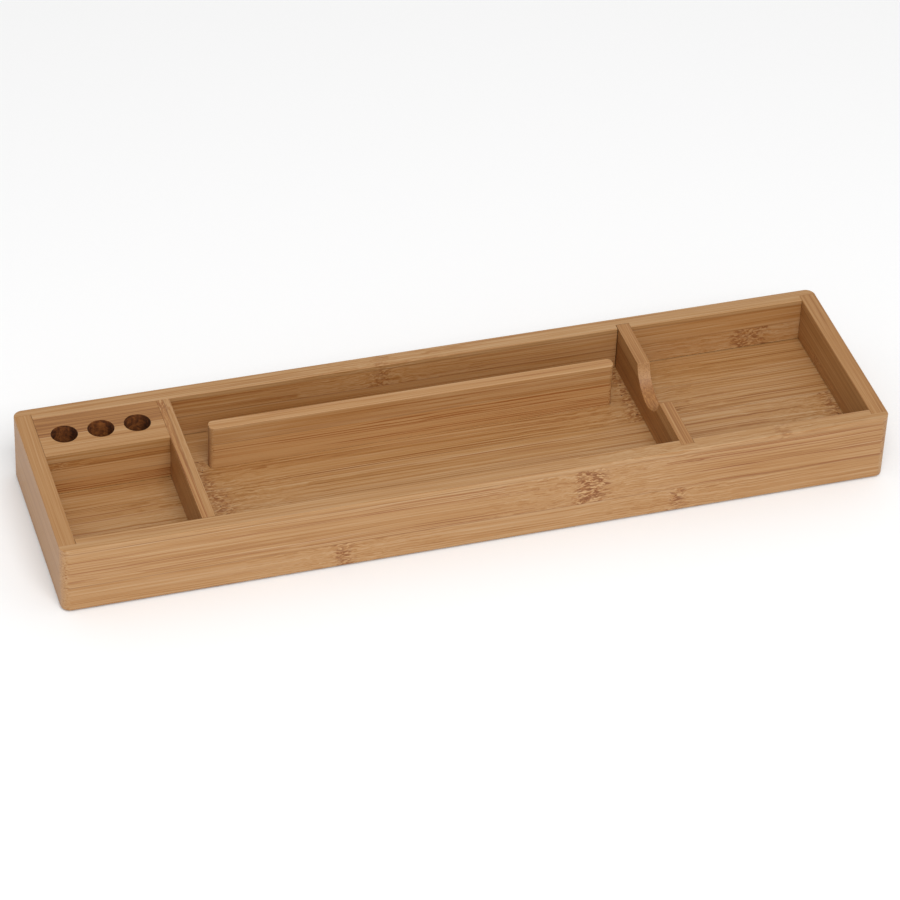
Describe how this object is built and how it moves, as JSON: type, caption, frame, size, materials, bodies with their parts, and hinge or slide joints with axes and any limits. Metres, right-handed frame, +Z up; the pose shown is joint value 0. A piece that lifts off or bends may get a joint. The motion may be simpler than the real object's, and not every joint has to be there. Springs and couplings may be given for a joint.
{
  "type": "desk organiser tray",
  "caption": "Long low bamboo desk tray with a drilled pen block, open compartments, a note bin with a finger notch, and an upright rail for a phone or cards.",
  "frame": {"origin": "centre of the tray's footprint, on the surface that the feet stand on", "axes": "+X along the tray from the pen block's end to the note bin's end, +Y from the front wall to the back wall, +Z up"},
  "size_m": [0.38, 0.1, 0.0344],
  "materials": {
    "front_wall": "satin clear finish over bamboo",
    "back_wall": "satin clear finish over bamboo",
    "left_end_wall": "satin clear finish over bamboo",
    "right_end_wall": "satin clear finish over bamboo",
    "bottom_panel": "satin clear finish over bamboo",
    "left_divider": "satin clear finish over bamboo",
    "right_divider": "satin clear finish over bamboo",
    "pen_block": "satin clear finish over bamboo",
    "upright_rail": "satin clear finish over bamboo",
    "foot_rubber": "clear soft rubber"
  },
  "bodies": {
    "root": {"front_wall": "front_wall", "back_wall": "back_wall", "left_end_wall": "left_end_wall", "right_end_wall": "right_end_wall", "bottom_panel": "bottom_panel", "left_divider": "left_divider", "right_divider": "right_divider", "pen_block": "pen_block", "upright_rail": "upright_rail", "foot_front_left": "foot_rubber", "foot_back_left": "foot_rubber", "foot_front_right": "foot_rubber", "foot_back_right": "foot_rubber"}
  },
  "joints": []
}
